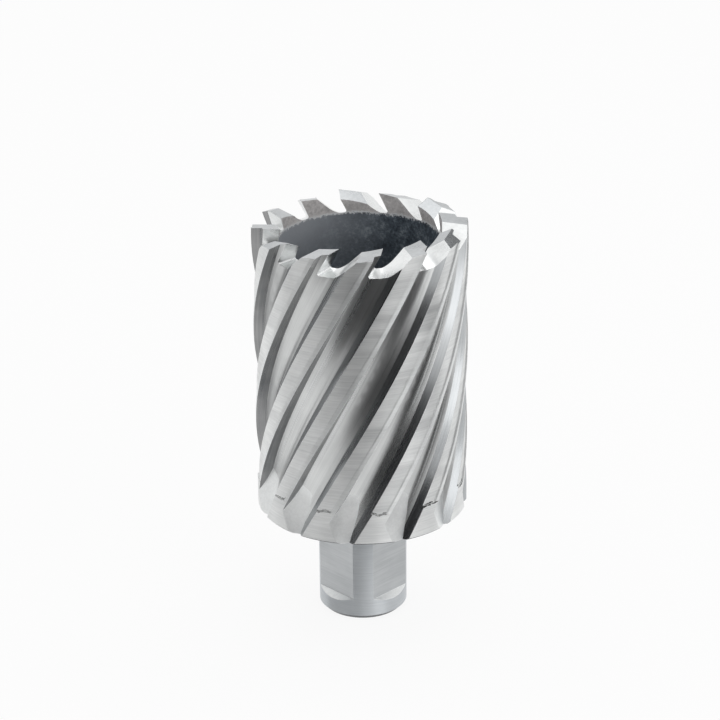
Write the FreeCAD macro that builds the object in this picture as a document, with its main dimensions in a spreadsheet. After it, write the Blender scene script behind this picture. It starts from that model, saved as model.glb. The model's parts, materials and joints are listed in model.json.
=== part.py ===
import FreeCAD, Part
import math
import os

import Sketcher
from FreeCAD import Placement, Rotation, Vector

# Annular cutter of high speed steel, ground from one piece, in millimetres.
# It stands on its shank end at z = 0, with its axis on Z and the teeth on top.

NODE = "annular_cutter"

SIZES = {
    # Body and shank
    "body_diameter": 45.0,
    "body_length": 63.9,
    "body_chamfer": 0.3,
    "shank_diameter": 19.05,
    "shank_length": 25.0,
    "shank_chamfer": 1.0,
    "pilot_diameter": 6.4,
    "pilot_chamfer": 0.5,
    # Cup that clears the slug
    "cup_diameter": 34.0,
    "cutting_depth": 52.0,
    "cup_corner": 1.5,
    # Flats that the set screws press on
    "flat_distance": 8.1,
    "flat_collar": 5.0,
    "flat_ramp_angle": 55.0,
    "flat_spacing": 90.0,
    "flat_middle_angle": -90.0,
    # Helix, where the front tooth's cutting edge lies, and how many teeth
    "tooth_count": 12,
    "helix_lead": 248.8,
    "front_edge_angle": -82.16,
    # Flute section: depths below the body, angles from the cutting edge at the flute's start
    "flute_floor_depth": 2.15,
    "flute_hollow_depth": 2.45,
    "flute_bend_depth": 2.15,
    "flute_wall_depth": 1.55,
    "rake_foot_angle": 1.16,
    "flute_hollow_angle": 10.2,
    "flute_bend_angle": 13.2,
    "flute_wall_angle": 15.4,
    "flute_back_angle": 19.26,
    # Run-out of a flute, the path of the grinding wheel that leaves the body
    "wheel_radius": 70.0,
    "wheel_width": 40.0,
    "wheel_depth": 2.7,
    "runout_height": 13.0,
    # Margin and the relieved land behind it
    "margin_angle": 2.64,
    "margin_step_angle": 0.4,
    "land_angle": 11.84,
    "land_depth": 0.3,
    "land_start": 7.0,
    # Gullet between two teeth: its depths start at a level below the crests, and its
    # shape is given at the inner wall and inside the rim; the wheel runs on past both
    "gullet_angle": 8.16,
    "gullet_level": 0.3,
    "gullet_inner_clearance": 0.0,
    "gullet_inner_lead": 0.06,
    "gullet_inner_slope": 23.2,
    "gullet_inner_root_depth": 4.2,
    "gullet_inner_root": -0.35,
    "gullet_inner_root_slope": 20.0,
    "gullet_inner_radius": 10.3,
    "gullet_inner_ramp": 44.0,
    "gullet_outer_clearance": 0.5,
    "gullet_outer_lead": -2.0,
    "gullet_outer_slope": 32.0,
    "gullet_outer_root_depth": 5.85,
    "gullet_outer_root": -2.6,
    "gullet_outer_root_slope": 5.0,
    "gullet_outer_radius": 6.4,
    "gullet_outer_ramp": 41.4,
    "gullet_corner": 0.6,
    "gullet_inward": 4.5,
    "gullet_outward": 2.5,
    # Tops of the teeth: where the facets meet, their relief and their slopes
    "top_angle": 0.16,
    "top_inset": 2.9,
    "level_drop": 0.68,
    "level_relief": 7.0,
    "level_slope": 1.2,
    "crest_drop": 0.45,
    "crest_relief": 10.8,
    "crest_outer_slope": 17.2,
    "crest_inner_slope": 26.6,
    "bevel_drop": 0.5,
    "bevel_slope": 15.0,
    # How far a cutting tool's solid runs past the surface that it cuts
    "overcut": 1.5,
}

# Sizes that follow from the others, worked out in the same sheet
WORKED_OUT = {
    "overall_height": "shank_length + body_length",
    "rim_radius": "body_diameter / 2 + overcut",
    "shank_rim": "shank_diameter / 2 + overcut",
    # Flute: its faces carried on outside the body
    "flute_floor_radius": "body_diameter / 2 - flute_floor_depth",
    "flute_hollow_radius": "body_diameter / 2 - flute_hollow_depth",
    "flute_bend_radius": "body_diameter / 2 - flute_bend_depth",
    "flute_wall_radius": "body_diameter / 2 - flute_wall_depth",
    "rake_out_angle": "-rake_foot_angle * overcut / flute_floor_depth",
    "flute_out_angle": "flute_back_angle + flute_back_rise * overcut / flute_wall_depth",
    "flute_back_rise": "flute_back_angle - flute_wall_angle",
    # Relief: its step carried on outside the body and inside the land
    "land_radius": "body_diameter / 2 - land_depth",
    "buried_radius": "land_radius - overcut",
    "relief_rim_angle": "margin_step_angle * overcut / land_depth - margin_angle",
    "relief_buried_angle": "-margin_angle - margin_step_angle * (1 + overcut / land_depth)",
    "relief_end_angle": "-land_angle - overcut",
    # Gullet: the planes where its shape is given, and those where its solid starts and ends
    "gullet_top": "overall_height + overcut",
    "gullet_inner_reach": "cup_diameter / 2 + gullet_inner_clearance",
    "gullet_outer_reach": "body_diameter / 2 - gullet_outer_clearance",
    "gullet_start_reach": "gullet_inner_reach - gullet_inward",
    "gullet_end_reach": "gullet_outer_reach + gullet_outward",
    # Flat: where its ramp leaves the shank
    "flat_ramp_end": "flat_collar - (shank_rim - flat_distance) / tan(flat_ramp_angle)",
}

# What changes evenly from the inner wall outward, and is carried on to the solid's two ends
GULLET_SHAPE = ("lead", "slope", "root_depth", "root", "root_slope", "radius", "ramp")

# Corners of one gullet section, from the slopes of its face, root and ramp
GULLET_CORNERS = {
    "mouth_across": "{s}_lead + (overcut + gullet_level) * tan({s}_slope)",
    "root_up": "overall_height - gullet_level - {s}_root_depth",
    "centre_across": "{s}_root - {s}_radius * sin({s}_root_slope)",
    "centre_up": "{s}_root_up + {s}_radius * cos({s}_root_slope)",
    "bend_across": "{s}_centre_across + {s}_radius * sin(({s}_root_slope + {s}_ramp) / 2)",
    "bend_up": "{s}_centre_up - {s}_radius * cos(({s}_root_slope + {s}_ramp) / 2)",
    "ramp_across": "{s}_centre_across + {s}_radius * sin({s}_ramp)",
    "ramp_up": "{s}_centre_up - {s}_radius * cos({s}_ramp)",
    "back_across": "{s}_ramp_across + (gullet_top - {s}_ramp_up) / tan({s}_ramp)",
    "drop_across": "({s}_root_up - gullet_top - {s}_root * tan({s}_root_slope)) * tan({s}_slope)",
    "meet_across": "({s}_mouth_across + {s}_drop_across) / (1 - tan({s}_root_slope) * tan({s}_slope))",
    "meet_up": "{s}_root_up + ({s}_meet_across - {s}_root) * tan({s}_root_slope)",
    "face_across": "{s}_meet_across + gullet_corner * sin({s}_slope)",
    "face_up": "{s}_meet_up + gullet_corner * cos({s}_slope)",
    "floor_across": "{s}_meet_across + gullet_corner * cos({s}_root_slope)",
    "floor_up": "{s}_meet_up + gullet_corner * sin({s}_root_slope)",
}

# How each tooth is ground on top, round from the front one
TOOTH_TOPS = (
    "level", "level", "crest", "level", "crest", "bevel",
    "crest", "bevel", "crest", "level", "crest", "level",
)

# Reach of the solids that grind the tooth tops, inside the room of one tooth
FACET_REACH = 6.0
FACET_BACK = 5.0
FACET_FRONT = 3.6
FACET_HEIGHT = 4.0

# Reach of the solid that stays standing below the wheel, inward, outward and across
STANDING_INWARD = 4.0
STANDING_OUTWARD = 8.0
STANDING_WIDTH = 24.0

doc = FreeCAD.newDocument("AnnularCutter")


def fill_sheet():
    """Keep every driving size in one sheet, under its own name, and work out the others there."""
    cells = {name: str(number) for name, number in SIZES.items()}
    cells.update({name: f"={formula}" for name, formula in WORKED_OUT.items()})
    for end in ("gullet_start", "gullet_end"):
        share = f"({end}_reach - gullet_inner_reach) / (gullet_outer_reach - gullet_inner_reach)"
        for name in GULLET_SHAPE:
            change = f"(gullet_outer_{name} - gullet_inner_{name})"
            cells[f"{end}_{name}"] = f"=gullet_inner_{name} + {change} * {share}"
        for corner, formula in GULLET_CORNERS.items():
            cells[f"{end}_{corner}"] = "=" + formula.replace("{s}", end)
    sheet = doc.addObject("Spreadsheet::Sheet", "Sizes")
    for row, (name, cell) in enumerate(cells.items(), start=1):
        sheet.set(f"A{row}", name)
        sheet.setAlias(f"B{row}", name)
        sheet.set(f"B{row}", cell)
    doc.recompute()
    return sheet


sheet = fill_sheet()


def size(name):
    return float(sheet.get(name))


def turned(degrees):
    return Rotation(Vector(0, 0, 1), degrees)


def polar(radius, degrees):
    return Vector(radius * math.cos(math.radians(degrees)), radius * math.sin(math.radians(degrees)), 0)


overall_height = size("overall_height")
pitch_angle = 360.0 / size("tooth_count")
twist_per_mm = 360.0 / size("helix_lead")


def origin_plane(body, role):
    return next(item for item in body.Origin.OriginFeatures if item.Role == role)


def draw(sketch, edges):
    """Draw a closed outline of ("line", end) and ("arc", middle, end) edges."""
    start = edges[-1][-1]
    for edge in edges:
        end = edge[-1]
        if edge[0] == "line":
            sketch.addGeometry(Part.LineSegment(start, end))
        else:
            sketch.addGeometry(Part.Arc(start, edge[1], end))
        start = end
    # An arc drawn clockwise is stored the other way round
    ends = []
    start = edges[-1][-1]
    for index, edge in enumerate(edges):
        turned_back = sketch.getPoint(index, 2).distanceToPoint(start) < 1e-6
        ends.append((2, 1) if turned_back else (1, 2))
        start = edge[-1]
    count = len(edges)
    for index in range(count):
        following = (index + 1) % count
        sketch.addConstraint(
            Sketcher.Constraint("Coincident", index, ends[index][1], following, ends[following][0])
        )
    return ends


def place_point(sketch, index, end, across, up):
    """Tie one end of an edge to the sizes, measured from the sketch's origin."""
    for kind, formula, place in (("DistanceX", across, 0), ("DistanceY", up, 1)):
        point = sketch.getPoint(index, end)
        number = sketch.addConstraint(Sketcher.Constraint(kind, -1, 1, index, end, point[place]))
        sketch.setExpression(f"Constraints[{number}]", formula)


def revolved_blank():
    """Turned blank: stepped outside, pilot bore and the cup, before any flute is ground."""
    body = doc.addObject("PartDesign::Body", "Blank")
    sketch = body.newObject("Sketcher::SketchObject", "BlankProfile")
    sketch.AttachmentSupport = [(origin_plane(body, "XZ_Plane"), "")]
    sketch.MapMode = "FlatFace"
    doc.recompute()

    pilot = "Sizes.pilot_diameter / 2"
    shank = "Sizes.shank_diameter / 2"
    outside = "Sizes.body_diameter / 2"
    top = "Sizes.shank_length + Sizes.body_length"
    cup = "Sizes.cup_diameter / 2"
    floor = f"{top} - Sizes.cutting_depth"
    corners = [
        (f"{pilot} + Sizes.pilot_chamfer", "0"),
        (f"{shank} - Sizes.shank_chamfer", "0"),
        (shank, "Sizes.shank_chamfer"),
        (shank, "Sizes.shank_length"),
        (f"{outside} - Sizes.body_chamfer", "Sizes.shank_length"),
        (outside, "Sizes.shank_length + Sizes.body_chamfer"),
        (outside, top),
        (cup, top),
        (cup, f"{floor} + Sizes.cup_corner"),
        (f"{cup} - Sizes.cup_corner", floor),
        (pilot, floor),
        (pilot, "Sizes.pilot_chamfer"),
    ]
    points = [Vector(worked_out(across), worked_out(up), 0) for across, up in corners]
    ends = draw(sketch, [("line", point) for point in points[1:] + points[:1]])
    for index, (across, up) in enumerate(corners):
        place_point(sketch, index, ends[index][0], across, up)

    turning = body.newObject("PartDesign::Revolution", "Turning")
    turning.Profile = (sketch, [""])
    turning.ReferenceAxis = (sketch, ["V_Axis"])
    turning.Angle = 360.0
    doc.recompute()
    return body


def worked_out(formula):
    """A formula on the sheet's sizes, as a number for the first drawing."""
    total = 0.0
    for term in formula.replace("- ", "+ -").split("+ "):
        factor = -1.0 if term.startswith("-") else 1.0
        name, *share = term.strip("- ").split(" / ")
        number = size(name.split(".")[1]) if name.startswith("Sizes.") else float(name)
        total += factor * number / (float(share[0]) if share else 1.0)
    return total


def helix(name, height):
    spine = doc.addObject("Part::Helix", name)
    spine.setExpression("Pitch", "Sizes.helix_lead")
    spine.setExpression("Radius", "Sizes.body_diameter / 2")
    spine.setExpression("Height", height)
    spine.Style = 1
    return spine


def screwed(name, section, height):
    """Sweep a level section up a right-hand helix about the axis."""
    sweep = doc.addObject("Part::Sweep", name)
    sweep.Sections = [section]
    sweep.Spine = (helix(f"{name}Helix", height), ["Edge1"])
    sweep.Solid = True
    sweep.Frenet = True
    return sweep


def section_sketch(name, corners):
    """Level section whose corners are named by their radius and their angle."""
    sketch = doc.addObject("Sketcher::SketchObject", name)
    points = [polar(size(radius), size(angle)) for radius, angle in corners]
    ends = draw(sketch, [("line", point) for point in points[1:] + points[:1]])
    for index, (radius, angle) in enumerate(corners):
        across = f"Sizes.{radius} * cos(Sizes.{angle})"
        up = f"Sizes.{radius} * sin(Sizes.{angle})"
        place_point(sketch, index, ends[index][0], across, up)
    return sketch


def ring_of(name, source, step_angle, count):
    """Copies of one cutting solid, evenly spaced round the axis."""
    copies = []
    for index in range(count):
        copy = doc.addObject("App::Link", f"{name}{index + 1}")
        copy.LinkedObject = source
        copy.LinkTransform = True
        copy.Placement = Placement(Vector(), turned(index * step_angle))
        copies.append(copy)
    ring = doc.addObject("Part::Compound", name)
    ring.Links = copies
    return ring


def cut(name, base, tool):
    """Cut a tool from a solid, and make sure that it takes something away."""
    result = doc.addObject("Part::Cut", name)
    result.Base = base
    result.Tool = tool
    doc.recompute()
    if result.Shape.Volume > base.Shape.Volume - 0.001:
        raise ValueError(f"{name} cuts nothing")
    return result


def edge_angle(height):
    """Angle of the front tooth's cutting edge, carried down its helix to a height."""
    return size("front_edge_angle") - twist_per_mm * (overall_height - height)


def swept_section(name, corners, bottom, height):
    """Solid of a level section that starts at a height and screws up the helix."""
    section = section_sketch(f"{name}Section", corners)
    section.Placement = Placement(Vector(0, 0, bottom), turned(edge_angle(bottom)))
    sweep = screwed(name, section, height)
    sweep.Spine[0].Placement = section.Placement
    return sweep


def standing_solid():
    """What the grinding wheel leaves standing where a flute runs out of the body."""
    height = size("shank_length") + size("runout_height")
    middle = (size("rake_foot_angle") + size("flute_back_angle")) / 2
    outward = polar(1, edge_angle(height) + middle)
    round_axis = Vector(-outward.y, outward.x, 0)

    # The wheel stands square to the flute, where its floor starts to rise
    slant = math.atan(math.radians(twist_per_mm) * size("flute_floor_radius"))
    across = round_axis * math.cos(slant) - Vector(0, 0, math.sin(slant))
    along = outward.cross(across)
    touch = outward * (size("body_diameter") / 2 - size("wheel_depth")) + Vector(0, 0, height)
    hub = touch + outward * size("wheel_radius") - across * size("wheel_width") / 2
    wheel = doc.addObject("Part::Cylinder", "GrindingWheel")
    wheel.setExpression("Radius", "Sizes.wheel_radius")
    wheel.setExpression("Height", "Sizes.wheel_width")
    wheel.Placement = Placement(hub, Rotation(Vector(0, 0, 1), across))

    below = doc.addObject("Part::Box", "BelowWheel")
    below.Length = STANDING_INWARD + STANDING_OUTWARD
    below.Width = STANDING_WIDTH
    below.setExpression("Height", "2 * Sizes.runout_height")
    corner = touch - outward * STANDING_INWARD - across * STANDING_WIDTH / 2
    corner -= along * 2 * size("runout_height")
    below.Placement = Placement(corner, Rotation(outward, across, along, "XYZ"))
    doc.recompute()
    return cut("Standing", below, wheel)


def flute_tool():
    """One helical flute, with the wheel's rounded run-out at its lower end."""
    corners = [
        ("rim_radius", "rake_out_angle"),
        ("flute_floor_radius", "rake_foot_angle"),
        ("flute_hollow_radius", "flute_hollow_angle"),
        ("flute_bend_radius", "flute_bend_angle"),
        ("flute_wall_radius", "flute_wall_angle"),
        ("rim_radius", "flute_out_angle"),
    ]
    bottom = size("shank_length") - size("overcut")
    sweep = swept_section("Flute", corners, bottom, "Sizes.body_length + 2 * Sizes.overcut")
    return cut("FluteTool", sweep, standing_solid())


def relief_tool():
    """Relieved land behind the margin of one tooth, which ends in a step low on the body."""
    corners = [
        ("rim_radius", "relief_rim_angle"),
        ("buried_radius", "relief_buried_angle"),
        ("buried_radius", "relief_end_angle"),
        ("rim_radius", "relief_end_angle"),
    ]
    bottom = size("shank_length") + size("land_start")
    height = "Sizes.body_length - Sizes.land_start + Sizes.overcut"
    sweep = swept_section("ReliefBand", corners, bottom, height)

    core = doc.addObject("Part::Cylinder", "LandCylinder")
    core.setExpression("Radius", "Sizes.land_radius")
    core.setExpression("Height", "Sizes.overall_height + 2 * Sizes.overcut")
    doc.recompute()
    return cut("Relief", sweep, core)


def gullet_profile(name, end):
    """Outline of a gullet on a plane square to its middle: face, small corner, root, ramp."""
    corners = [
        (f"{end}_face_across", f"{end}_face_up"),
        (f"{end}_floor_across", f"{end}_floor_up"),
        (f"{end}_root", f"{end}_root_up"),
        (f"{end}_ramp_across", f"{end}_ramp_up"),
        (f"{end}_back_across", "gullet_top"),
        (f"{end}_mouth_across", "gullet_top"),
    ]
    points = [Vector(size(across), size(up), 0) for across, up in corners]
    bend = Vector(size(f"{end}_bend_across"), size(f"{end}_bend_up"), 0)
    edges = [("line", point) for point in points]
    edges[3] = ("arc", bend, points[3])
    sketch = doc.addObject("Sketcher::SketchObject", name)
    ends = draw(sketch, edges)
    for index, (across, up) in enumerate(corners):
        place_point(sketch, index, ends[index][1], f"Sizes.{across}", f"Sizes.{up}")
    radius = sketch.addConstraint(Sketcher.Constraint("Radius", 3, size(f"{end}_radius")))
    sketch.setExpression(f"Constraints[{radius}]", f"Sizes.{end}_radius")
    upright = Rotation(Vector(0, 1, 0), Vector(0, 0, 1), Vector(1, 0, 0), "XYZ")
    sketch.Placement = Placement(Vector(size(f"{end}_reach"), 0, 0), upright)
    return sketch


def gullet_tool():
    """Gullet ahead of the front tooth, deeper and wider toward the rim."""
    start = gullet_profile("GulletStart", "gullet_start")
    end = gullet_profile("GulletEnd", "gullet_end")
    gullet = doc.addObject("Part::Loft", "Gullet")
    gullet.Sections = [start, end]
    gullet.Ruled = True
    gullet.Solid = True
    gullet.Placement = Placement(Vector(), turned(size("front_edge_angle") + size("gullet_angle")))
    return gullet


def above_plane(name, touch, relief, slope):
    """Solid above a facet that rises by its relief round the axis and by its slope outward."""
    rise_round = math.tan(math.radians(relief))
    rise_outward = math.tan(math.radians(slope))
    outward = Vector(1, 0, rise_outward).normalize()
    normal = Vector(-rise_outward, -rise_round, 1).normalize()
    box = doc.addObject("Part::Box", name)
    box.Length = 2 * FACET_REACH
    box.Width = FACET_BACK + FACET_FRONT
    box.Height = FACET_HEIGHT
    box.Placement = Placement(
        touch - outward * FACET_REACH - normal.cross(outward) * FACET_BACK,
        Rotation(outward, normal.cross(outward), normal, "XYZ"),
    )
    return box


def tooth_top_tools():
    """The facets of each kind of tooth, in a frame along the tooth's middle."""
    reach = size("body_diameter") / 2 - size("top_inset")
    crest = Vector(reach, 0, overall_height - size("crest_drop"))
    level = Vector(reach, 0, overall_height - size("level_drop"))
    tip = Vector(size("cup_diameter") / 2, 0, overall_height - size("bevel_drop"))
    return {
        "level": [above_plane("LevelTop", level, size("level_relief"), -size("level_slope"))],
        "bevel": [above_plane("BevelTop", tip, size("level_relief"), -size("bevel_slope"))],
        "crest": [
            above_plane("CrestOutside", crest, size("crest_relief"), -size("crest_outer_slope")),
            above_plane("CrestInside", crest, size("crest_relief"), size("crest_inner_slope")),
        ],
    }


def tooth_tops():
    """Every tooth's own facets, set round the rim."""
    tools = tooth_top_tools()
    facets = []
    for tooth in range(int(size("tooth_count"))):
        kind = TOOTH_TOPS[tooth % len(TOOTH_TOPS)]
        for number, tool in enumerate(tools[kind]):
            facet = doc.addObject("App::Link", f"Facet{tooth + 1}_{number + 1}")
            facet.LinkedObject = tool
            facet.LinkTransform = True
            angle = size("front_edge_angle") + size("top_angle") + tooth * pitch_angle
            facet.Placement = Placement(Vector(), turned(angle))
            facets.append(facet)
    tops = doc.addObject("Part::Compound", "ToothTops")
    tops.Links = facets
    return tops


def flat_tool():
    """Room for a set screw: a flat on the shank that ramps out above the end collar."""
    corners = [
        ("flat_distance", "shank_length"),
        ("flat_distance", "flat_collar"),
        ("shank_rim", "flat_ramp_end"),
        ("shank_rim", "shank_length"),
    ]
    sketch = doc.addObject("Sketcher::SketchObject", "FlatProfile")
    sketch.Placement = Placement(Vector(), Rotation(Vector(1, 0, 0), 90))
    points = [Vector(size(across), size(up), 0) for across, up in corners]
    ends = draw(sketch, [("line", point) for point in points[1:] + points[:1]])
    for index, (across, up) in enumerate(corners):
        place_point(sketch, index, ends[index][0], f"Sizes.{across}", f"Sizes.{up}")
    flat_solid = doc.addObject("Part::Extrusion", "ShankFlat")
    flat_solid.Base = sketch
    flat_solid.DirMode = "Normal"
    flat_solid.Symmetric = True
    flat_solid.setExpression("LengthFwd", "Sizes.shank_diameter")
    flat_solid.Solid = True
    return flat_solid


def shank_flats():
    """Two flats, either side of the front tooth's direction."""
    flat = flat_tool()
    flats = []
    for number, side in enumerate((-0.5, 0.5), start=1):
        copy = doc.addObject("App::Link", f"ShankFlat{number}")
        copy.LinkedObject = flat
        copy.LinkTransform = True
        copy.Placement = Placement(Vector(), turned(size("flat_middle_angle") + side * size("flat_spacing")))
        flats.append(copy)
    pair = doc.addObject("Part::Compound", "ShankFlats")
    pair.Links = flats
    return pair


def check_document():
    """Stop if any object failed, or has an empty or broken shape."""
    doc.recompute()
    for item in doc.Objects:
        if "Invalid" in item.State or "Error" in item.State:
            raise ValueError(f"{item.Label} failed")
        if hasattr(item, "Shape") and item.isDerivedFrom("Part::Feature"):
            if item.Shape.isNull() or not item.Shape.isValid():
                raise ValueError(f"{item.Label} has no sound shape")


def build():
    """Grind the blank step by step, in the order of the real work."""
    count = int(size("tooth_count"))
    blank = revolved_blank()
    fluted = cut("Fluted", blank, ring_of("Flutes", flute_tool(), pitch_angle, count))
    relieved = cut("Relieved", fluted, ring_of("Reliefs", relief_tool(), pitch_angle, count))
    gulleted = cut("Gulleted", relieved, ring_of("Gullets", gullet_tool(), pitch_angle, count))
    sharpened = cut("Sharpened", gulleted, tooth_tops())
    cutter = cut("Cutter", sharpened, shank_flats())
    cutter.Label = NODE
    return cutter


cutter = build()
check_document()
if len(cutter.Shape.Solids) != 1:
    raise ValueError("the cutter is not one solid")
os.makedirs("parts", exist_ok=True)
cutter.Shape.exportStep(f"parts/{cutter.Label}.step")
print(cutter.Label, round(cutter.Shape.Volume, 1), "mm3,", len(cutter.Shape.Faces), "faces")
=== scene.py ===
import json
import math

import bmesh
import bpy
from mathutils import Matrix, Vector


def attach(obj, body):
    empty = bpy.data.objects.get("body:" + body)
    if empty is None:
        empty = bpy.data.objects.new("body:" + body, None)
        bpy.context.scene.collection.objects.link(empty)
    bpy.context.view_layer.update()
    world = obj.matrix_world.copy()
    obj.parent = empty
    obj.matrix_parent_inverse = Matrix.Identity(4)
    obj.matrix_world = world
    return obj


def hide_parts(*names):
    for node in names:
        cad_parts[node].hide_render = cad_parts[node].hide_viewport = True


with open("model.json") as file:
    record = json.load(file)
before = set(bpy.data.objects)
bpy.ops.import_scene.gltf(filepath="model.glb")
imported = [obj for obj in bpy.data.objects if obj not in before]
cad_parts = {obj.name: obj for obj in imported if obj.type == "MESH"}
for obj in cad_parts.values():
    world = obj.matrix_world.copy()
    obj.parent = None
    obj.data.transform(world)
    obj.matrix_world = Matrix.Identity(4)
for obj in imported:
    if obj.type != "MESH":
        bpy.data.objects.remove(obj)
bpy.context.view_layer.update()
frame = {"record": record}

# Annular cutter of ground high speed steel, standing on its shank end.
# Lengths are in metres; the axis is Z, and angles about it start at -Y, counted towards +X.

NODE = "annular_cutter"
MM = 0.001

# Sizes of the cutter, as its record and its solid have them
MOUNTS = {mount["name"]: mount for mount in frame["record"]["mounts"]}
SHANK_RADIUS = MOUNTS["shank"]["dims"]["r_mm"] * MM
PILOT_RADIUS = MOUNTS["pilot_bore"]["dims"]["r_mm"] * MM
SHOULDER_HEIGHT = MOUNTS["shoulder"]["pos_m"][2]
BODY_RADIUS = 22.5 * MM
LAND_RADIUS = BODY_RADIUS - 0.3 * MM
CUP_RADIUS = 17.0 * MM
BODY_CHAMFER = 0.3 * MM
LAND_START = 32.0 * MM
TOP_HEIGHT = 88.9 * MM
HELIX_LEAD = 248.8 * MM
TOOTH_COUNT = 12
PITCH = math.tau / TOOTH_COUNT
TWIST = math.tau / HELIX_LEAD

# Heights that part the zones of the body: run-outs end, gullets start, tops of the teeth start
RUNOUT_TOP = 42.0 * MM
GULLET_BOTTOM = 82.0 * MM
FACET_BOTTOM = 86.2 * MM

# Angle of the front tooth's cutting edge at the top, and how far its margin reaches behind it
EDGE_ANGLE = math.radians(7.84)
MARGIN_REACH = math.radians(3.1)
# A land falls away behind its margin, so it faces a little backwards
LAND_LEAN = math.radians(4.5)

# Corners of the flute's section, which starts and ends outside the body:
# millimetres below the body's surface, and degrees ahead of the cutting edge
FLUTE_SECTION = ((-1.5, -0.81), (2.15, 1.16), (2.45, 10.2), (2.15, 13.2), (1.55, 15.4), (-1.5, 23.0))
FLUTE_CORNERS = [(BODY_RADIUS - depth * MM, math.radians(degrees)) for depth, degrees in FLUTE_SECTION]
# Angles this little behind the edge still count to the same flute
FLUTE_WRAP = math.radians(5.0)

# Camera, from the photograph's perspective
CAMERA_DISTANCE = 518.6 * MM
CAMERA_ELEVATION = math.radians(23.21)
CAMERA_ROLL = math.radians(-0.56)
CAMERA_TARGET = Vector((-0.222, 0.0, 57.30)) * MM
CAMERA_LENS = 122.7
SENSOR_WIDTH = 36.0


def around(angle):
    """Unit vector at an angle from -Y towards +X."""
    return Vector((math.sin(angle), -math.cos(angle), 0.0))


# Node trees


class Graph:
    """Node tree of a material or of the world, with a short way to add each kind of node."""

    def __init__(self, tree):
        self.nodes = tree.nodes
        self.links = tree.links

    def feed(self, socket, value):
        """Gives a socket another node's output, a colour or a number."""
        if isinstance(value, bpy.types.NodeSocket):
            self.links.new(value, socket)
        elif isinstance(value, tuple):
            socket.default_value = (*value, 1.0)
        else:
            socket.default_value = value

    def calc(self, operation, *values, clamp=False):
        node = self.nodes.new("ShaderNodeMath")
        node.operation = operation
        node.use_clamp = clamp
        for socket, value in zip(node.inputs, values):
            self.feed(socket, value)
        return node.outputs["Value"]

    def noise(self, vector, scale, detail, roughness):
        node = self.nodes.new("ShaderNodeTexNoise")
        self.feed(node.inputs["Vector"], vector)
        self.feed(node.inputs["Scale"], scale)
        self.feed(node.inputs["Detail"], detail)
        self.feed(node.inputs["Roughness"], roughness)
        return node.outputs["Fac"]

    def ramp(self, factor, *stops):
        """Colour along a factor, from stops of a place and a colour."""
        node = self.nodes.new("ShaderNodeValToRGB")
        elements = node.color_ramp.elements
        while len(elements) < len(stops):
            elements.new(0.5)
        for element, (place, colour) in zip(elements, stops):
            element.position = place
            element.color = (*colour, 1.0)
        self.feed(node.inputs["Fac"], factor)
        return node.outputs["Color"]

    def mixed(self, share, first, second):
        """First colour where the share is 0 and second where it is 1."""
        node = self.nodes.new("ShaderNodeMix")
        node.data_type = "RGBA"
        self.feed(node.inputs["Factor"], share)
        self.feed(node.inputs["A"], first)
        self.feed(node.inputs["B"], second)
        return node.outputs["Result"]

    def remapped(self, value, start, end, source=(0.0, 1.0)):
        """Value moved from its source range to a range from start to end."""
        node = self.nodes.new("ShaderNodeMapRange")
        self.feed(node.inputs["Value"], value)
        self.feed(node.inputs["From Min"], source[0])
        self.feed(node.inputs["From Max"], source[1])
        self.feed(node.inputs["To Min"], start)
        self.feed(node.inputs["To Max"], end)
        return node.outputs["Result"]

    def stretched(self, vector, scale):
        node = self.nodes.new("ShaderNodeMapping")
        node.inputs["Scale"].default_value = scale
        self.feed(node.inputs["Vector"], vector)
        return node.outputs["Vector"]

    def split(self, vector):
        node = self.nodes.new("ShaderNodeSeparateXYZ")
        self.feed(node.inputs["Vector"], vector)
        return node.outputs


class Finish(Graph):
    """New material round one principled shader."""

    def __init__(self, name):
        self.material = bpy.data.materials.new(name)
        self.material.use_nodes = True
        super().__init__(self.material.node_tree)
        self.shader = self.nodes["Principled BSDF"]

    def give(self, name, value):
        self.feed(self.shader.inputs[name], value)

    def object_place(self):
        return self.nodes.new("ShaderNodeTexCoord").outputs["Object"]

    def add_relief(self, height, strength, distance, edge_radius=0.0):
        """Fine relief from a height, over edges that are slightly rounded."""
        bump = self.nodes.new("ShaderNodeBump")
        self.feed(bump.inputs["Height"], height)
        self.feed(bump.inputs["Strength"], strength)
        self.feed(bump.inputs["Distance"], distance)
        if edge_radius:
            rounded = self.nodes.new("ShaderNodeBevel")
            rounded.samples = 6
            self.feed(rounded.inputs["Radius"], edge_radius)
            self.feed(bump.inputs["Normal"], rounded.outputs["Normal"])
        self.give("Normal", bump.outputs["Normal"])


# Ground steel

# Wheel marks: fine across the cut and long along it, per metre in X, Y and Z
LENGTHWISE = (3600.0, 3600.0, 60.0)
FURROWED = (2600.0, 2600.0, 36.0)
ROUND = (120.0, 120.0, 3400.0)
EVEN = (1800.0, 1800.0, 1800.0)

# Colours of the steel, each from its darkest marks to its lightest. They serve as lit and shaded copies
# of one steel, with painted light and painted shade in their tones
PALE = ((0.54, 0.55, 0.55), (0.75, 0.76, 0.755))
LIGHT = ((0.60, 0.61, 0.61), (0.88, 0.89, 0.885))
MIDDLE = ((0.40, 0.415, 0.425), (0.56, 0.575, 0.585))
GREY = ((0.20, 0.205, 0.21), (0.38, 0.38, 0.38))
DARK = ((0.07, 0.075, 0.08), (0.16, 0.165, 0.17))
BRIGHT = ((0.70, 0.713, 0.713), (0.88, 0.893, 0.89))
BLUISH = ((0.50, 0.525, 0.545), (0.67, 0.695, 0.715))

# Shares of the fine marks, the broad bands and the clouds in a finish's tone
MARK_SHARE = 0.35
BAND_SHARE = 0.4
CLOUD_SHARE = 0.25
BAND_STRETCH = 0.1
MARK_RELIEF = 0.02 * MM
EDGE_ROUNDING = 0.1 * MM

# Colour's and roughness's limits within the grey that the noise gives
TONE_START = 0.38
TONE_END = 0.62
BAND_RANGE = (0.35, 0.65)
SMOOTHER = 0.04
ROUGHER = 0.06
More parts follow.
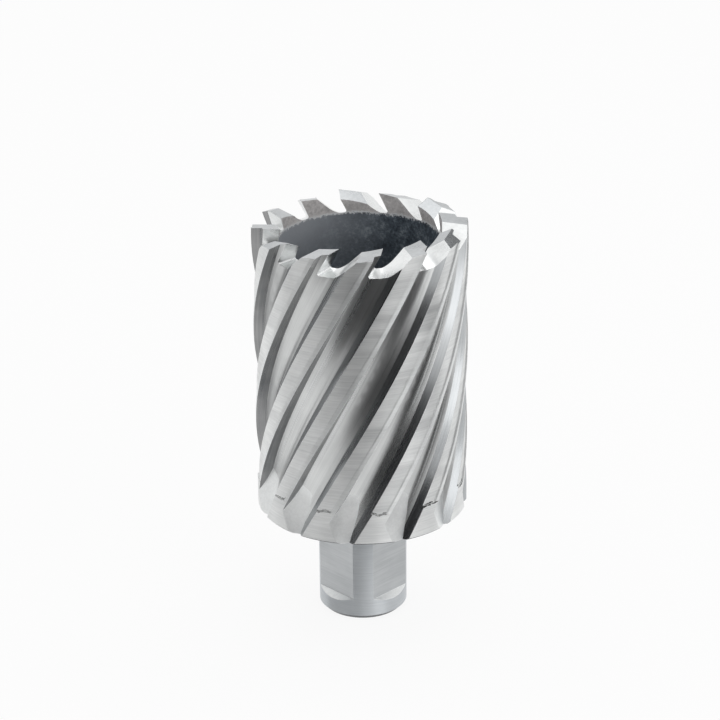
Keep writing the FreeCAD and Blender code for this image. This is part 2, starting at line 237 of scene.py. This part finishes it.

# Painted shade in the step's corner where the relief of a land ends: a dark wandering line, in patches
# that break up into crumbs
STEP_SHADE_HEIGHT = LAND_START + 1.15 * MM
STEP_SHADE_HALF_WIDTH = 0.24 * MM
STEP_SHADE_WANDER = 2.2 * MM
STEP_SHADE_COLOUR = (0.06, 0.06, 0.058)
STEP_SHADE_PER_METRE = 45.0
STEP_SHADE_AT_MIDDLE = -0.9
PATCH_CONTRAST = 4.0
CRUMB_CONTRAST = 5.0
CRUMB_SHIFT = -1.7


def untwisted(finish, place):
    """Place on the cutter with its helix turned back, so that a flute runs straight up."""
    rotate = finish.nodes.new("ShaderNodeVectorRotate")
    rotate.rotation_type = "Z_AXIS"
    finish.feed(rotate.inputs["Vector"], place)
    finish.feed(rotate.inputs["Angle"], finish.calc("MULTIPLY", finish.split(place)["Z"], -TWIST))
    return rotate.outputs["Vector"]


def shaded_step_end(steel, place, colour):
    """Land's colour with painted shade, a dark line in the step's corner where the relief ends."""
    parts = steel.split(place)
    wander = steel.noise(place, scale=420.0, detail=3.0, roughness=0.7)
    height = steel.calc("MULTIPLY_ADD", wander, STEP_SHADE_WANDER, parts["Z"])
    near = steel.calc("COMPARE", height, STEP_SHADE_HEIGHT, STEP_SHADE_HALF_WIDTH)
    # More of it on the side of +X, as in the photograph
    side = steel.calc("MULTIPLY_ADD", parts["X"], STEP_SHADE_PER_METRE, STEP_SHADE_AT_MIDDLE)
    patches = steel.noise(place, scale=90.0, detail=1.0, roughness=0.5)
    strong = steel.calc("MULTIPLY_ADD", patches, PATCH_CONTRAST, side, clamp=True)
    crumbs = steel.noise(place, scale=1900.0, detail=2.0, roughness=0.6)
    broken = steel.calc("MULTIPLY_ADD", crumbs, CRUMB_CONTRAST, CRUMB_SHIFT, clamp=True)
    share = steel.calc("MULTIPLY", near, steel.calc("MULTIPLY", strong, broken))
    return steel.mixed(share, colour, STEP_SHADE_COLOUR)


def ground_steel(
    name, colours, roughness, grain, helical=False, depth=0.3, brushed=0.0, turn=0.25, step_shaded=False
):
    """Ground steel: wheel marks that stretch along the cut, in a colour that wanders a little."""
    steel = Finish(name)
    place = steel.object_place()
    base = untwisted(steel, place) if helical else place
    wide_grain = [scale * BAND_STRETCH for scale in grain]
    marks = steel.noise(steel.stretched(base, grain), scale=1.0, detail=5.0, roughness=0.7)
    bands = steel.noise(steel.stretched(base, wide_grain), scale=1.0, detail=3.0, roughness=0.55)
    clouds = steel.noise(place, scale=130.0, detail=2.0, roughness=0.5)
    tone = steel.calc("MULTIPLY", marks, MARK_SHARE)
    tone = steel.calc("MULTIPLY_ADD", bands, BAND_SHARE, tone)
    tone = steel.calc("MULTIPLY_ADD", clouds, CLOUD_SHARE, tone)
    darkest, lightest = colours
    colour = steel.ramp(tone, (TONE_START, darkest), (TONE_END, lightest))
    # Painted shade where the relief of the land ends
    if step_shaded:
        colour = shaded_step_end(steel, place, colour)
    steel.give("Base Color", colour)
    steel.give("Metallic", 1.0)
    steel.give("Roughness", steel.remapped(bands, roughness - SMOOTHER, roughness + ROUGHER, BAND_RANGE))
    if brushed:
        # Marks run round the axis; the turn says which way they spread a reflection
        tangent = steel.nodes.new("ShaderNodeTangent")
        tangent.direction_type = "RADIAL"
        tangent.axis = "Z"
        steel.give("Anisotropic", brushed)
        steel.give("Anisotropic Rotation", turn)
        steel.give("Tangent", tangent.outputs["Tangent"])
    steel.add_relief(marks, depth, MARK_RELIEF, EDGE_ROUNDING)
    return steel.material


# Cup wall

# Height where the ground mouth of the cup ends
MOUTH_END = 84.3 * MM

# Painted light on the scale: paler towards -X, where the right lamp lights the far wall, and most so
# towards the mouth
LIT_AT_MIDDLE = 0.35
LIT_PER_METRE = -0.9 / CUP_RADIUS
HALF_LIT_HEIGHT = 73.0 * MM
LIT_PER_RISE = 0.6 / (11.0 * MM)

SCALE_DARK = (0.026, 0.038, 0.052)
SCALE_MIDDLE = (0.098, 0.122, 0.150)
SCALE_LIGHT = (0.27, 0.31, 0.34)
SCALE_LIT = (0.36, 0.38, 0.41)
SCALE_BORDER = (0.85, 0.86, 0.87)
MOUTH_DARK = (0.50, 0.48, 0.47)
MOUTH_LIGHT = (0.80, 0.77, 0.76)

# The border wanders with the specks and the blotches, and fades over a fraction of a millimetre
SPECK_SHARE = 0.55
BLOTCH_SHARE = 0.45
BORDER_SPECKS = 2.4 * MM
BORDER_BLOTCHES = 0.8 * MM
BORDER_MEAN = 1.6 * MM
BORDER_SHARPNESS = 3000.0
MOUTH_SHARPNESS = 2500.0
SCALE_RELIEF = 0.06 * MM


def bore_steel():
    """Cup wall: ground at its mouth, and below a ragged edge blue-black from the hardening."""
    steel = Finish("bore_steel")
    place = steel.object_place()
    parts = steel.split(place)
    blotches = steel.noise(place, scale=260.0, detail=4.0, roughness=0.6)
    specks = steel.noise(place, scale=1500.0, detail=4.0, roughness=0.75)
    tone = steel.calc("MULTIPLY", blotches, BLOTCH_SHARE)
    tone = steel.calc("MULTIPLY_ADD", specks, SPECK_SHARE, tone)
    scale = steel.ramp(tone, (0.38, SCALE_DARK), (0.52, SCALE_MIDDLE), (0.64, SCALE_LIGHT))
    ground = steel.ramp(tone, (0.40, MOUTH_DARK), (0.60, MOUTH_LIGHT))

    # Painted light: the scale is mixed towards a paler colour on the -X side, near the mouth
    side = steel.calc("MULTIPLY_ADD", parts["X"], LIT_PER_METRE, LIT_AT_MIDDLE, clamp=True)
    rise = steel.calc("SUBTRACT", parts["Z"], HALF_LIT_HEIGHT)
    raised = steel.calc("MULTIPLY_ADD", rise, LIT_PER_RISE, 0.5, clamp=True)
    scale = steel.mixed(steel.calc("MULTIPLY", side, raised), scale, SCALE_LIT)

    ragged = steel.calc("MULTIPLY_ADD", specks, BORDER_SPECKS, parts["Z"])
    ragged = steel.calc("MULTIPLY_ADD", blotches, BORDER_BLOTCHES, ragged)
    above = steel.calc("SUBTRACT", ragged, MOUTH_END + BORDER_MEAN)
    border = steel.calc("MULTIPLY_ADD", above, BORDER_SHARPNESS, 1.0, clamp=True)
    mouth = steel.calc("MULTIPLY", above, MOUTH_SHARPNESS, clamp=True)
    colour = steel.mixed(border, scale, SCALE_BORDER)
    steel.give("Base Color", steel.mixed(mouth, colour, ground))
    steel.give("Roughness", steel.remapped(mouth, 0.6, 0.45))
    steel.give("Metallic", steel.remapped(mouth, 0.15, 0.2))
    steel.add_relief(specks, 0.5, SCALE_RELIEF)
    return steel.material


# Painted light and shade: the same steel is lighter on faces that catch the lamps, such as margins,
# gullets and run-outs, and darker on faces in shade, such as rakes, back walls and tooth tops
FINISHES = {
    "land": ground_steel("ground_land", LIGHT, 0.40, ROUND, brushed=0.88, step_shaded=True),
    "margin": ground_steel("ground_margin", BRIGHT, 0.44, ROUND, brushed=0.92),
    "rake": ground_steel("ground_rake", GREY, 0.28, LENGTHWISE, helical=True),
    "floor": ground_steel("ground_floor", PALE, 0.30, FURROWED, helical=True, brushed=0.5, turn=0.0),
    "back": ground_steel("ground_back", MIDDLE, 0.27, LENGTHWISE, helical=True),
    "runout": ground_steel("ground_runout", BRIGHT, 0.36, EVEN, depth=0.08),
    "gullet": ground_steel("polished_gullet", BRIGHT, 0.28, EVEN, depth=0.04),
    "face": ground_steel("ground_face", BRIGHT, 0.30, EVEN, depth=0.1),
    "top": ground_steel("ground_top", MIDDLE, 0.30, EVEN, depth=0.2),
    "bore": bore_steel(),
    "shank": ground_steel("brushed_shank", BLUISH, 0.46, ROUND, brushed=0.95),
    "flat": ground_steel("brushed_flat", MIDDLE, 0.36, ROUND, depth=0.25),
    "ramp": ground_steel("ground_ramp", BRIGHT, 0.30, EVEN, depth=0.15),
    # Painted shade: chamfers that face down are dark, as they reflect the shadow under the cutter
    "under": ground_steel("shaded_chamfer", DARK, 0.45, EVEN, depth=0.15),
}
FINISH_ORDER = list(FINISHES)


# True surface of each face, so that long facets shade as the curve that they stand for

# Finish of each run of the flute's section, in the order of its corners
FLUTE_FINISHES = ("rake", "floor", "floor", "floor", "back")
FLOOR_RUNS = (1, 2, 3)
HOLLOW_RUN = 2
BEND_RUN = 3
# The bend shades flatter than it is, as the floor's light reaches almost to the back wall
BEND_SHARE = 0.4

# How far a corner or a middle may lie from the surface that its face was cut on
LEVEL_TOLERANCE = 0.01 * MM
ROUND_TOLERANCE = 0.012 * MM
RUN_TOLERANCE = 0.03 * MM
RUN_AGREEMENT = 0.8
CORNER_REACH = 0.08 * MM
MERGE_DISTANCE = 0.002 * MM
LAND_TOLERANCE = 0.05 * MM
CUP_TOLERANCE = 0.1 * MM
FLAT_DIP = 0.3 * MM
STEP_FOOT = 0.5 * MM
EDGE_TOLERANCE = 0.001

# Upward parts of a face's normal that tell the kinds of faces apart
UPRIGHT = 0.05
LEVEL = 0.95
TOOTH_TOP = 0.85
GULLET_SLOPE = 0.2
RAMP_SLOPE = 0.1
UNDERCUT = -0.3
STEP_SLOPE = 0.6

# Angle between two faces from which their edge is sharp; a gullet's few facets shade as one curve
SHARP_ANGLE = math.radians(16.0)
GULLET_SHARP_ANGLE = math.radians(72.0)

ROUND_SURFACES = (BODY_RADIUS, LAND_RADIUS, CUP_RADIUS, SHANK_RADIUS, PILOT_RADIUS)


def axis_distance(place):
    return math.hypot(place.x, place.y)


def flute_point(place):
    """Radius and angle of a place in the flute's section, turned back down the helix."""
    angle = math.atan2(place.x, -place.y) - EDGE_ANGLE - TWIST * (place.z - TOP_HEIGHT)
    return axis_distance(place), (angle + FLUTE_WRAP) % PITCH - FLUTE_WRAP


def flat_point(radius, angle):
    return Vector((radius * math.cos(angle), radius * math.sin(angle)))


def distance_to_run(point, start, end):
    along = end - start
    share = max(0.0, min(1.0, (point - start).dot(along) / along.length_squared))
    return (point - start - along * share).length


def flute_run(face):
    """Number of the section's run that a face was swept from, or None."""
    points = [flat_point(*flute_point(vert.co)) for vert in face.verts]
    centre = face.calc_center_median()
    best = None
    for number, (start, end) in enumerate(zip(FLUTE_CORNERS, FLUTE_CORNERS[1:])):
        ends = flat_point(*start), flat_point(*end)
        gap = max(distance_to_run(point, *ends) for point in points)
        if gap < RUN_TOLERANCE and (best is None or gap < best[0]):
            if face.normal.dot(run_normal(number, centre)) > RUN_AGREEMENT:
                best = gap, number
    return best[1] if best else None


def run_normal(number, place):
    """Outward normal of the helical surface that one run of the section sweeps."""
    start, end = (flat_point(*corner) for corner in FLUTE_CORNERS[number : number + 2])
    along = (end - start).normalized()
    radius, angle = flute_point(place)
    rise = TWIST * along.dot(flat_point(radius, angle))
    normal = Vector((along.y, -along.x, rise)).normalized()
    if normal.to_2d().dot(start) < 0 or number == 0 and along.y > 0 and normal.y < 0:
        normal = -normal
    # The section's axes point outward and round it, and are turned to the place's own bearing
    heading = math.atan2(place.x, -place.y) - angle
    outward = around(heading)
    sideways = Vector((math.cos(heading), math.sin(heading), 0.0))
    return outward * normal.x + sideways * normal.y + Vector((0.0, 0.0, normal.z))


def soft_run_normal(number, place):
    """Normal that blends where two runs of the flute's rounded floor meet."""
    normal = run_normal(number, place)
    if number == BEND_RUN:
        hollow = run_normal(HOLLOW_RUN, place)
        normal = (normal * BEND_SHARE + hollow * (1.0 - BEND_SHARE)).normalized()
    if number not in FLOOR_RUNS:
        return normal
    point = flat_point(*flute_point(place))
    for other, corner in ((number - 1, number), (number + 1, number + 1)):
        near = (point - flat_point(*FLUTE_CORNERS[corner])).length < CORNER_REACH
        if near and other in FLOOR_RUNS:
            normal = (normal + run_normal(other, place)).normalized()
    return normal


def round_surface(face):
    """Radius of the cylinder that a face lies on, or None."""
    if abs(face.normal.z) > UPRIGHT:
        return None
    middle = axis_distance(face.calc_center_median())
    for radius in ROUND_SURFACES:
        if all(abs(axis_distance(vert.co) - radius) < ROUND_TOLERANCE for vert in face.verts):
            # The long edges of a flat lie on the shank too, but its middle doesn't
            return radius if middle > radius - FLAT_DIP else None
    return None


def is_margin_step(face, centre):
    """Small step down from a margin to the land behind it."""
    radius, angle = flute_point(centre)
    if radius <= LAND_RADIUS - LAND_TOLERANCE or centre.z <= LAND_START:
        return False
    beside = -MARGIN_REACH < angle < -EDGE_TOLERANCE
    between = LAND_START + STEP_FOOT < centre.z < GULLET_BOTTOM
    return beside and (between or abs(face.normal.z) < STEP_SLOPE)


def finish_of(face, radius, run):
    """Which grinding step made a face of the cutter."""
    centre = face.calc_center_median()
    upward = face.normal.z
    if centre.z < SHOULDER_HEIGHT + BODY_CHAMFER and -LEVEL < upward < UNDERCUT:
        return "under"
    if centre.z < SHOULDER_HEIGHT + LEVEL_TOLERANCE:
        if radius or abs(upward) > LEVEL:
            return "shank"
        return "ramp" if upward > RAMP_SLOPE else "flat"
    if radius == CUP_RADIUS or axis_distance(centre) < CUP_RADIUS - CUP_TOLERANCE:
        return "bore"
    if radius == LAND_RADIUS:
        return "land"
    if radius == BODY_RADIUS:
        return "margin" if centre.z > LAND_START else "land"
    if centre.z > FACET_BOTTOM and upward > TOOTH_TOP:
        return "top"
    if run is not None:
        return FLUTE_FINISHES[run]
    if centre.z > GULLET_BOTTOM:
        return "gullet" if upward > GULLET_SLOPE else "face"
    return "runout" if centre.z < RUNOUT_TOP else "floor"


def sort_faces(shape):
    """Gives each face its finish, and lists the cylinder or the flute run that it lies on."""
    surfaces = []
    for face in shape.faces:
        centre = face.calc_center_median()
        radius = round_surface(face)
        if not radius and is_margin_step(face, centre):
            radius = BODY_RADIUS
        run = None if radius or centre.z < SHOULDER_HEIGHT else flute_run(face)
        surfaces.append((radius, run))
        face.material_index = FINISH_ORDER.index(finish_of(face, radius, run))
        face.smooth = True
    return surfaces


def mark_sharp_edges(mesh):
    """Marks the edges where faces turn."""
    sides = {}
    for polygon in mesh.polygons:
        for key in polygon.edge_keys:
            sides.setdefault(key, []).append(polygon)
    rounded = {FINISH_ORDER.index("gullet"), FINISH_ORDER.index("face")}
    for edge in mesh.edges:
        first, second = sides[tuple(sorted(edge.vertices))]
        both = {first.material_index, second.material_index}
        limit = GULLET_SHARP_ANGLE if both <= rounded else SHARP_ANGLE
        edge.use_edge_sharp = first.normal.angle(second.normal) > limit


def set_true_normals(mesh, surfaces):
    """Turns the normals of round and helical faces to those of the true surface."""
    lean = Matrix.Rotation(-LAND_LEAN, 3, "Z")
    normals = [corner.vector.copy() for corner in mesh.corner_normals]
    for polygon, (radius, run) in zip(mesh.polygons, surfaces):
        for loop in polygon.loop_indices:
            place = mesh.vertices[mesh.loops[loop].vertex_index].co
            if radius:
                normal = Vector((place.x, place.y, 0.0)).normalized()
                if radius == LAND_RADIUS:
                    normal.rotate(lean)
                normals[loop] = normal if normal.dot(polygon.normal) > 0 else -normal
            elif run is not None:
                normals[loop] = soft_run_normal(run, place)
    mesh.normals_split_custom_set(normals)


def dress_cutter():
    """The cutter's own surface, with the finish and the true curve of each ground face."""
    shape = bmesh.new()
    shape.from_mesh(bpy.data.objects[NODE].data)
    bmesh.ops.remove_doubles(shape, verts=shape.verts, dist=MERGE_DISTANCE)
    surfaces = sort_faces(shape)
    mesh = bpy.data.meshes.new("ground_cutter")
    shape.to_mesh(mesh)
    shape.free()
    for finish in FINISH_ORDER:
        mesh.materials.append(FINISHES[finish])
    mark_sharp_edges(mesh)
    set_true_normals(mesh, surfaces)
    cutter = bpy.data.objects.new("ground_cutter", mesh)
    bpy.context.scene.collection.objects.link(cutter)
    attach(cutter, "root")
    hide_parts(NODE)


# Studio

WHITE = (1.0, 1.0, 1.0)
SHEET_WHITE = (0.9, 0.9, 0.9)
CARD_BLACK = (0.03, 0.03, 0.032)
LAMP_AIM = Vector((0.0, 0.0, 50.0 * MM))
FLOOR_REACH = 4.0
FLOOR_GLOW_SHARE = 0.9
ROOM_STRENGTH = 0.7
CARD_RADIUS = 1.6
CARD_STEPS = 24
CARD_LIFT = 2.0 * MM

# Painted shade on the floor in front of the cutter, that only the steel sees: corners of two black cards
# lying there, in X and Y
FLOOR_SHADE_LEFT = [(-0.5, -0.29), (-1.3, -0.6), (-1.3, -1.4), (0.0, -1.4), (0.0, -0.12), (-0.03, -0.12)]
FLOOR_SHADE_RIGHT = [(0.0, -0.12), (0.0, -1.4), (1.0, -1.4), (1.0, -0.14), (0.14, -0.02), (0.052, -0.122)]


def staged(name, shape, material):
    mesh = bpy.data.meshes.new(name)
    shape.to_mesh(mesh)
    shape.free()
    mesh.materials.append(material)
    holder = bpy.data.objects.new(name, mesh)
    bpy.context.scene.collection.objects.link(holder)
    return holder


def background_share(graph):
    """1 for rays that see the background straight, or in metal or glass."""
    rays = graph.nodes.new("ShaderNodeLightPath").outputs
    seen = graph.calc("MAXIMUM", rays["Is Camera Ray"], rays["Is Glossy Ray"])
    return graph.calc("MAXIMUM", seen, rays["Is Transmission Ray"])


def studio_floor():
    """Pale floor that shows as white, with the cutter's soft shadow on it."""
    shape = bmesh.new()
    bmesh.ops.create_grid(shape, x_segments=1, y_segments=1, size=FLOOR_REACH)
    sheet = Finish("floor_white")
    sheet.give("Base Color", SHEET_WHITE)
    sheet.give("Roughness", 0.9)
    glow = sheet.nodes.new("ShaderNodeEmission")
    sheet.feed(glow.inputs["Strength"], 1.0)
    mix = sheet.nodes.new("ShaderNodeMixShader")
    sheet.feed(mix.inputs["Fac"], sheet.calc("MULTIPLY", background_share(sheet), FLOOR_GLOW_SHARE))
    sheet.feed(mix.inputs[1], sheet.shader.outputs["BSDF"])
    sheet.feed(mix.inputs[2], glow.outputs["Emission"])
    sheet.feed(sheet.nodes["Material Output"].inputs["Surface"], mix.outputs["Shader"])
    staged("studio_floor", shape, sheet.material)


def dark_card(name, shape):
    """Black studio card that only the steel sees."""
    paper = Finish(name)
    paper.give("Base Color", CARD_BLACK)
    paper.give("Roughness", 1.0)
    card = staged(name, shape, paper.material)
    card.visible_camera = False
    card.visible_diffuse = False
    card.visible_shadow = False


def curved_card(name, first, last, bottom, top):
    """Card bent round the cutter, between two bearings in degrees and two heights."""
    shape = bmesh.new()
    foot = around(math.radians(first)) * CARD_RADIUS
    upright = [shape.verts.new((foot.x, foot.y, height)) for height in (bottom, top)]
    geometry = [*upright, shape.edges.new(upright)]
    turn = math.radians(last - first)
    bmesh.ops.spin(shape, geom=geometry, axis=(0, 0, 1), cent=(0, 0, 0), steps=CARD_STEPS, angle=turn)
    dark_card(name, shape)


def floor_shade_card(name, corners):
    """Black card that lies on the floor in front of the cutter, as painted shade that only the steel
    sees.
    """
    shape = bmesh.new()
    shape.faces.new([shape.verts.new((x, y, CARD_LIFT)) for x, y in corners])
    dark_card(name, shape)


def studio_world():
    """Even pale room, a little dimmer as a light than as a background."""
    world = bpy.data.worlds.new("studio")
    bpy.context.scene.world = world
    world.use_nodes = True
    room = Graph(world.node_tree)
    background = room.nodes["Background"]
    room.feed(background.inputs["Color"], WHITE)
    strength = room.calc("MULTIPLY_ADD", background_share(room), 1.0 - ROOM_STRENGTH, ROOM_STRENGTH)
    room.feed(background.inputs["Strength"], strength)


def softbox(name, bearing, elevation, distance, width, height, watts):
    """Rectangular lamp that faces the middle of the cutter, at angles in degrees."""
    lamp = bpy.data.lights.new(name, "AREA")
    lamp.shape = "RECTANGLE"
    lamp.size = width
    lamp.size_y = height
    lamp.energy = watts
    holder = bpy.data.objects.new(name, lamp)
    raised = math.radians(elevation)
    direction = around(math.radians(bearing)) * math.cos(raised) + Vector((0, 0, math.sin(raised)))
    holder.location = LAMP_AIM + direction * distance
    holder.rotation_euler = (-direction).to_track_quat("-Z", "Y").to_euler()
    bpy.context.scene.collection.objects.link(holder)


def photo_camera():
    """Camera that sees the cutter as the photograph does."""
    camera = bpy.data.cameras.new("photo_camera")
    camera.lens = CAMERA_LENS
    camera.sensor_width = SENSOR_WIDTH
    camera.clip_start = 0.01
    camera.clip_end = 20.0
    holder = bpy.data.objects.new("photo_camera", camera)
    back = Vector((0.0, -math.cos(CAMERA_ELEVATION), math.sin(CAMERA_ELEVATION)))
    right = Vector((1.0, 0.0, 0.0))
    up = back.cross(right)
    rolled_right = right * math.cos(CAMERA_ROLL) + up * math.sin(CAMERA_ROLL)
    rolled_up = up * math.cos(CAMERA_ROLL) - right * math.sin(CAMERA_ROLL)
    turn = Matrix((rolled_right, rolled_up, back)).transposed()
    holder.matrix_world = Matrix.Translation(CAMERA_TARGET + back * CAMERA_DISTANCE) @ turn.to_4x4()
    bpy.context.scene.collection.objects.link(holder)
    bpy.context.scene.camera = holder


dress_cutter()

studio_floor()
studio_world()
floor_shade_card("table_card_left", FLOOR_SHADE_LEFT)
floor_shade_card("table_card_right", FLOOR_SHADE_RIGHT)
curved_card("room_card", first=-100.0, last=-3.0, bottom=0.0, top=1.3)
curved_card("low_card", first=-3.0, last=14.0, bottom=0.0, top=0.36)
curved_card("high_card", first=140.0, last=170.0, bottom=1.4, top=2.9)
softbox("right_softbox", bearing=44.0, elevation=24.0, distance=0.9, width=0.5, height=0.6, watts=0.95)
softbox("top_softbox", bearing=170.0, elevation=75.0, distance=0.9, width=0.9, height=0.6, watts=1.4)
photo_camera()
bpy.context.scene.view_settings.view_transform = "Standard"
